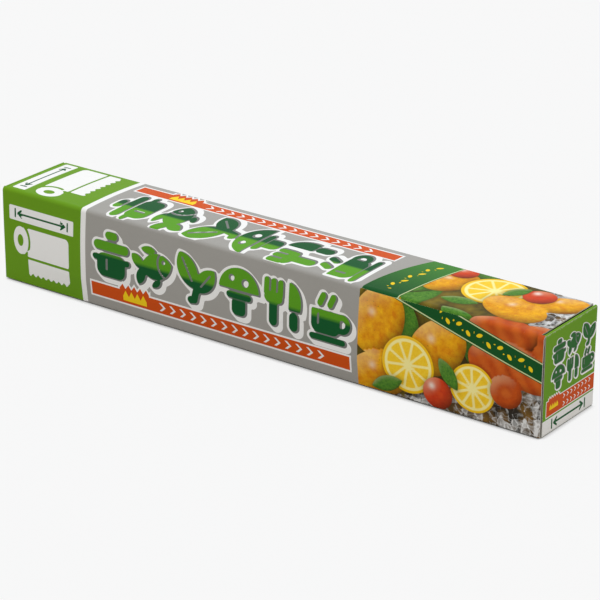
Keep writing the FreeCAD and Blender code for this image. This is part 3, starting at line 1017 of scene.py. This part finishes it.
floor_run = np.linspace(WALL_FACE + FOLD + 0.5, BACK - FOLD - 0.5, WALL_STEPS)
channel_path = np.concatenate([
    upright(WALL_FACE, FRONT_WALL_TOP, FOLD + 0.2, WALL_STEPS),
    turn((WALL_FACE + FOLD, FOLD), FOLD, 180, 270, FOLD_STEPS),
    np.stack([floor_run, np.zeros(WALL_STEPS)], -1),
    turn((BACK - FOLD, FOLD), FOLD, 270, 360, FOLD_STEPS),
    upright(BACK, FOLD + 0.2, BACK_TOP, BACK_STEPS),
])
channel_x = spread((BOARD - BODY_HALF, COARSE), (FRAMES_FROM, FOOD_CELL), (PICTURE_FROM, COARSE),
                   (BODY_HALF - BOARD, None))
channel_outer, channel_inner = carried(channel_path, BOARD, channel_x, 0)
wall_path = np.concatenate([
    upright(BODY_HALF - END_WALL, 0.5, SHOULDER - 0.4, 8),
    turn((BODY_HALF - 1.5 * BOARD, SHOULDER), 1.5 * BOARD, 180, 0, 13),
    upright(BODY_HALF, SHOULDER - 0.4, FOLD + 0.3, 84),
    turn((BODY_HALF - FOLD, FOLD), FOLD, 0, -90, FOLD_STEPS),
])
wall_y = spread((WALL_FACE + 0.05, 0.45), (BACK - 0.1, None))
print("channel path", len(channel_path), "end wall path", len(wall_path))

# %% [markdown]
# ### The print on the ends
#
# Two rows of three signs, a red box under them and a pale band along the foot. The same
# functions draw it, at about half the size.

# %% Print for an end panel
END_SCALE = 0.465
END_FIRST = -7.6
END_PITCH = 10.3
UPPER_ROW = 30.9
LOWER_ROW = 20.7


def end_signs(y, z):
    """Two rows of three signs."""
    return join(*[sign_row(y, z - row, order, END_FIRST, END_PITCH, END_SCALE)
                  for row, order in ((UPPER_ROW, SIGNS[:3]), (LOWER_ROW, SIGNS[3:]))])


def where_seen(values, outside):
    """The distances on one face, and far away elsewhere."""
    return {key: np.where(outside, value, FAR) for key, value in values.items()}


def end_print(y, z, outside):
    """Distances on an end panel, given across and up."""
    values = where_seen({
        "sign": end_signs(y, z),
        "sign_rim": raised(end_signs, y, z, 0.6, -0.4) - 0.55,
        "sign_shade": end_signs(y - 0.2, z) + 0.1,
        "along": y * 2.0,
        "rise": (z - 10.2) * 2.0,
        "white": z - 6.2,
        "mark": width_arrow(y - 0.8, z - 3.4, 11.5),
        "edge": join(z - FOLD, SHOULDER - 0.3 - z, BACK - 0.3 - np.abs(y)),
    }, outside)
    values["sign_tone"] = np.full_like(y, 0.85)
    return values


# %% [markdown]
# ### The print on the back
#
# The back explains. Four white frames show the carton from its end: lift the lid, draw the
# foil, close the lid and tear the foil upwards, and cook. Seen from behind, x runs to the
# left, so the drawings take -x as their own width.

# %% Print for the back
FRAME_MIDDLE = 22.8
FRAMES = (-30.5, 1.0, 32.5, 64.0)
BOARD_LINE = 0.55
ARROW_LINE = 0.5
FOIL_LINE = 0.4
BARB = 2.4
BARB_ANGLE = 2.4
AJAR = 52


def end_on(u, z, opened):
    """The carton from its end: floor and two walls, the roll on its core, and the lid, which
    is two strokes at a right angle, turned up about the top right corner."""
    c, s = math.cos(math.radians(opened)), math.sin(math.radians(opened))
    tip = (5.8 - 11.6 * c, 1.2 + 11.6 * s)
    flap_end = (tip[0] - 7.0 * s, tip[1] - 7.0 * c)
    board = trace(u, z, BOARD_LINE, (-5.4, 0.0), (-5.4, -10.0), (5.8, -10.0), (5.8, 1.2), tip, flap_end)
    return join(board, np.abs(disc(u, z, 0.2, -5.0, 3.7)) - 0.5, disc(u, z, 0.2, -5.0, 1.2))


def arrow(u, z, ax, ay, bx, by):
    """A pen stroke from a to b and two short strokes back from its tip."""
    backwards = math.atan2(by - ay, bx - ax) + np.array([BARB_ANGLE, -BARB_ANGLE])
    left, right = zip(bx + BARB * np.cos(backwards), by + BARB * np.sin(backwards))
    return join(stroke(u, z, ax, ay, bx, by, ARROW_LINE), trace(u, z, ARROW_LINE, left, (bx, by), right))


def back_print(x, z, outside):
    """Distances on the back."""
    v = z - FRAME_MIDDLE
    first, second, third, fourth = (-x - middle for middle in FRAMES)
    sheets = join(trace(second, v, FOIL_LINE, (-2.6, -2.4), (-5.5, 0.6), (-12.0, -3.0)),
                  trace(third, v, FOIL_LINE, (-6.6, -5.4), (-11.8, -8.6)))
    return where_seen({
        "white": join(*[block(-x, v, middle, 0, 14.2, 12.6, 1.6) for middle in FRAMES]),
        "mark": join(end_on(first, v, AJAR), end_on(second, v, AJAR), end_on(third, v, 0),
                     pot(fourth, v + 1.2), sheets),
        "arrow": join(arrow(first, v, -9.5, -4.0, -9.5, 3.6), arrow(second, v, -6.0, -4.4, -11.6, -7.6),
                      arrow(third, v, -11.2, -5.6, -10.4, 2.0)),
        "along": -x - 35.3,
        "rise": (z - 4.9) * 1.25,
    }, outside)


end_card = printed_card("printed_end_card", "end")
side_card = printed_card("printed_side_card", "side")

# %% Make the body
body_sheets = Sheets()
run = np.append(0, np.cumsum(np.hypot(*np.diff(channel_path, axis=0).T)))
from_fold = join(np.abs(run - run[FIRST_FOLD]), np.abs(run - run[SECOND_FOLD]), run, run[-1] - run) - 0.5
channel_y, channel_z = channel_outer[..., 1], channel_outer[..., 2]
on_back = (channel_y > BACK - 0.01) & (channel_z > FOLD + 0.1)
channel_print = back_print(channel_outer[..., 0], channel_z, on_back)
channel_print["edge"] = np.broadcast_to(from_fold, channel_z.shape)
body_sheets.add(channel_outer, channel_inner, outside=3, **channel_print)
for side in (-1, 1):
    flip = slice(None, None, side)
    outer, inner = carried(wall_path, -BOARD, wall_y, 1)
    values = end_print(outer[..., 1] * side, outer[..., 2], outer[..., 0] > BODY_HALF - 0.3)
    for grid in (outer, inner):
        grid[..., 0] *= side
    body_sheets.add(outer[flip], inner[flip], **{key: value[flip] for key, value in values.items()})
    flap_y, flap_z = np.meshgrid([WALL_FACE, 0.6, BACK], [FOLD, 20.0, SHOULDER - 1.2])
    near = np.stack([np.full_like(flap_y, side * (BODY_HALF - 2 * BOARD)), flap_y, flap_z], -1)
    far = near + [side * BOARD, 0, 0]
    body_sheets.add(far[flip], near[flip], outside=1)
carton_sheet = body_sheets.make("carton_sheet", (end_card, inner_board, board_edge, side_card))
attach(carton_sheet, "carton")
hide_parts("carton_body")

# %% [markdown]
# ## Core, strip and foil
#
# The core is wound from a ribbon of brown card, so a seam runs round it in a helix. The
# cutting strip is hard vulcanised paper. Both keep their solid shape and get a material.

# %% Strip and core
ROLL_Y = (roll_low.y + roll_high.y) / 2
ROLL_Z = (roll_low.z + roll_high.z) / 2
ROLL_RADIUS = (roll_high.z - roll_low.z) / 2
CORE_REACH = (core_high.z - core_low.z) / 2 + 0.05
SEAM_PITCH = 62.0
SEAM_HALF = 0.012


def hard_paper():
    """Pale brown paper with fine fibres, rubbed paler towards its teeth."""
    paint = new_paint("hard_paper")
    z = paint.axes()[2]
    fibre = paint.noise(0.35, 4.0, rough=0.7)
    cloud = paint.noise(6.0, 2.0)
    colour = paint.mix((fibre * 0.7 + cloud * 0.6 - 0.2).clamp(), ink(196, 180, 140), ink(214, 202, 168))
    worn = (paint.noise(1.5, 3.0) * 1.6 - z * 0.5 - 0.4).clamp()
    colour = paint.mix(worn * 0.5, colour, ink(232, 226, 206))
    return paint.finish(colour, fibre * 0.15 + 0.5, fibre, 0.015)


def core_card():
    """Brown card whose seam climbs one pitch along the tube in each turn."""
    paint = new_paint("core_card")
    x, y, z = paint.axes()
    angle = paint.node("ShaderNodeMath", {"operation": "ARCTAN2"}, {0: z - ROLL_Z, 1: y - ROLL_Y}, out=0)
    phase = (x / SEAM_PITCH - angle / (2 * math.pi)).fract()
    seam = ((SEAM_HALF - (phase - 0.5).size()) * 120).clamp()
    fibre = paint.noise(0.6, 4.0, rough=0.7)
    colour = paint.mix(fibre.levels(1.6, 0.3), ink(146, 118, 84), ink(178, 150, 112))
    colour = paint.mix(seam * 0.6, colour, ink(96, 76, 54))
    return paint.finish(colour, fibre * 0.1 + 0.8, fibre - seam, 0.03)


for node, finish in (("paper_blade", hard_paper()), ("core_tube", core_card())):
    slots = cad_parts[node].data.materials
    slots.clear()
    slots.append(finish)

# %% [markdown]
# The roll is foil wound eighty times. Its outside isn't smooth: the winding leaves long
# faint ridges, and the last turn ends in an edge that lies on the turn below. A height
# over angle and length gives all of that, and the ends show the turns as fine rings.

# %% The wound foil
LAST_TURN = 0.28
EDGE_ANGLE = math.radians(118)


def roll_point(x, share):
    """The last turn begins at its edge, which wanders a little, and steps down to the turn
    below by the end of its round. Shallow ridges run along the roll."""
    angle = EDGE_ANGLE + 0.02 * np.sin(x / 21.0) + 0.012 * np.sin(x / 6.3) + 2 * math.pi * share
    ridges = 0.05 * np.sin(angle * 23 + 1.3 * np.sin(x / 31.0)) * np.sin(x / 19.0 + angle)
    dents = 0.07 * np.sin(x / 4.1 + 2 * np.sin(angle * 3)) * np.sin(angle * 7 + x / 9.0)
    radius = ROLL_RADIUS - 0.02 - LAST_TURN * share - np.abs(ridges) - np.maximum(dents, 0)
    return angle, radius


def round_roll(x, angle, radius):
    """Points at an angle and a radius round the roll's middle."""
    return np.stack([x, ROLL_Y + radius * np.cos(angle), ROLL_Z + radius * np.sin(angle)], -1)


def foil_metal(name):
    """Bright metal with streaks along the roll, fine creases, and rings on its ends."""
    paint = new_paint(name)
    x, y, z = paint.axes()
    reach_y, reach_z = y - ROLL_Y, z - ROLL_Z
    reach = (reach_y * reach_y + reach_z * reach_z) ** 0.5
    rings = (reach * 21.0 + paint.noise(3.0, 2.0) * 5.0).sine()
    end = ((x.size() - (roll_high.x - 0.05)) * 40).clamp()
    long_marks = paint.vector("MULTIPLY", paint.place(), (0.03, 1.0, 1.0))
    streak = paint.noise(1.2, 3.0, where=long_marks)
    cloud = paint.noise(14.0, 2.0)
    side = paint.mix((streak * 2.6 + cloud - 1.3).clamp(), ink(118, 120, 124), ink(204, 206, 210))
    colour = paint.mix(end, side, paint.mix(rings * 0.5 + 0.5, ink(186, 187, 189), ink(124, 126, 129)))
    roughness = streak * 0.2 + 0.24 + end * 0.1
    dents = paint.noise(5.0, 3.0, where=long_marks, rough=0.6)
    creases = (1 - (paint.noise(9.0, 3.0) * 2 - 1).size() * 7.0).clamp()
    bumps = (streak * 0.3 + dents + creases * 0.3) * (1 - end) + rings * end * 0.2
    return paint.finish(colour, roughness, bumps, 0.4, metallic=1.0)


roll_x, roll_share = np.meshgrid(spread((roll_low.x, 1.6), (roll_high.x, None)), np.linspace(0, 1, 241))
roll_angle, roll_radius = roll_point(roll_x, roll_share)
outer = round_roll(roll_x, roll_angle, roll_radius)
inner = round_roll(roll_x, roll_angle, CORE_REACH)
roll_sheets = Sheets()
roll_sheets.add(outer[::-1], inner[::-1], outside=0, inside=0, rim=0)
foil_wind = roll_sheets.make("foil_wind", (foil_metal("foil"),))
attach(foil_wind, "carton")
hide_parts("foil_roll")

# %% [markdown]
# ## The crease at the back
#
# Body and lid are one sheet in the real carton, creased along the top of the back wall.
# The model's hinge leaves a slit there, so a narrow strip of the same card bridges it.

# %% The crease strip
strip_x = spread((-TOP_HALF, 2.0), (TOP_HALF, None))
strip_path = upright(BACK - 0.015, BACK_TOP - 0.25, LID_TOP - 0.3, 7)
crease_sheets = Sheets()
crease_sheets.add(*carried(strip_path, 0.2, strip_x, 0))
crease_strip = crease_sheets.make("crease_strip", (side_card, inner_board, board_edge),
                                  blank=[*values, *channel_print])
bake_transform(crease_strip)

# %% [markdown]
# ## Table, light and camera
#
# The carton was photographed on white under soft light from above. The table is a plain
# pale sheet that keeps the carton's shadow, and one large soft lamp overhead makes the top
# brighter than the front.

# %% The table
TABLE_HALF = 3.0
TABLE_GREY = (0.44, 0.44, 0.44, 1)
GLOW_SHARE = 0.88
FOOT_SHADOW = 4.0


def seen(paint):
    """1 for rays from the camera and for mirrored or refracted ones, 0 for the others."""
    rays = paint.node("ShaderNodeLightPath")
    camera_ray, glossy, through = (Number(paint, rays.outputs[kind]) for kind in (
        "Is Camera Ray", "Is Glossy Ray", "Is Transmission Ray"))
    return (camera_ray + glossy + through).clamp()


def table_white():
    """A pale surface that is seen nearly white, shadow and all. Its glow fades where the
    carton crowds it, so the dark line at the carton's foot shows."""
    paint = new_paint("table_white")
    reach = {"Distance": FOOT_SHADOW * MM}
    space = paint.node("ShaderNodeAmbientOcclusion", {"samples": 8}, reach, out="AO")
    clear = ((space - 0.3) * 2.2).clamp()
    matt = paint.node("ShaderNodeBsdfDiffuse", None, {"Color": TABLE_GREY})
    glow = paint.node("ShaderNodeEmission", None, {"Color": (1, 1, 1, 1), "Strength": 1.0})
    share = seen(paint) * clear * GLOW_SHARE
    sockets = {0: share, 1: matt.outputs[0], 2: glow.outputs[0]}
    return paint.close(paint.node("ShaderNodeMixShader", None, sockets))


corners = [(TABLE_HALF * x, TABLE_HALF * y, 0) for x, y in ((-1, -1), (1, -1), (1, 1), (-1, 1))]
table_mesh = bpy.data.meshes.new("table")
table_mesh.from_pydata(corners, [], [(0, 1, 2, 3)])
table_mesh.materials.append(table_white())
table = bpy.data.objects.new("table", table_mesh)
bpy.context.scene.collection.objects.link(table)

# %% The light
AMBIENT = (1.0, 0.97, 0.93, 1)
AMBIENT_STRENGTH = 0.87
LAMP_PLACE = (-0.2, 0.15, 1.5)
LAMP_SIZE = 1.2
LAMP_POWER = 7.2
LAMP_COLOUR = (0.76, 0.94, 1.18)

sky = Paint(bpy.data.worlds.new("studio"), "ShaderNodeOutputWorld")
ambient = sky.node("ShaderNodeBackground", None, {"Color": AMBIENT, "Strength": AMBIENT_STRENGTH})
white = sky.node("ShaderNodeBackground", None, {"Color": (1, 1, 1, 1), "Strength": 1.0})
bpy.context.scene.world = sky.close(sky.node("ShaderNodeMixShader", None, {
    0: seen(sky), 1: ambient.outputs[0], 2: white.outputs[0]}))

lamp = bpy.data.lights.new("overhead", "AREA")
lamp.size, lamp.energy, lamp.color = LAMP_SIZE, LAMP_POWER, LAMP_COLOUR
holder = bpy.data.objects.new("overhead", lamp)
holder.location = LAMP_PLACE
holder.rotation_euler = (-Vector(LAMP_PLACE)).to_track_quat("-Z", "Y").to_euler()
bpy.context.scene.collection.objects.link(holder)

# %% The camera
AZIMUTH = 36.161
ELEVATION = 22.576
ROLL = 0.30
LENS = 157.70
CAMERA_PLACE = (0.55904, -0.75397, 0.40625)

camera_data = bpy.data.cameras.new("camera")
camera_data.sensor_width = 36.0
camera_data.lens = LENS
camera = bpy.data.objects.new("camera", camera_data)
camera.location = CAMERA_PLACE
aim = Euler((math.radians(90 - ELEVATION), 0, math.radians(AZIMUTH))).to_matrix()
camera.rotation_euler = (aim @ Matrix.Rotation(math.radians(ROLL), 3, "Z")).to_euler()
bpy.context.scene.collection.objects.link(camera)
bpy.context.scene.camera = camera
bpy.context.scene.view_settings.view_transform = "Standard"
print("camera", round(Vector(CAMERA_PLACE).length, 3), "m from the carton")
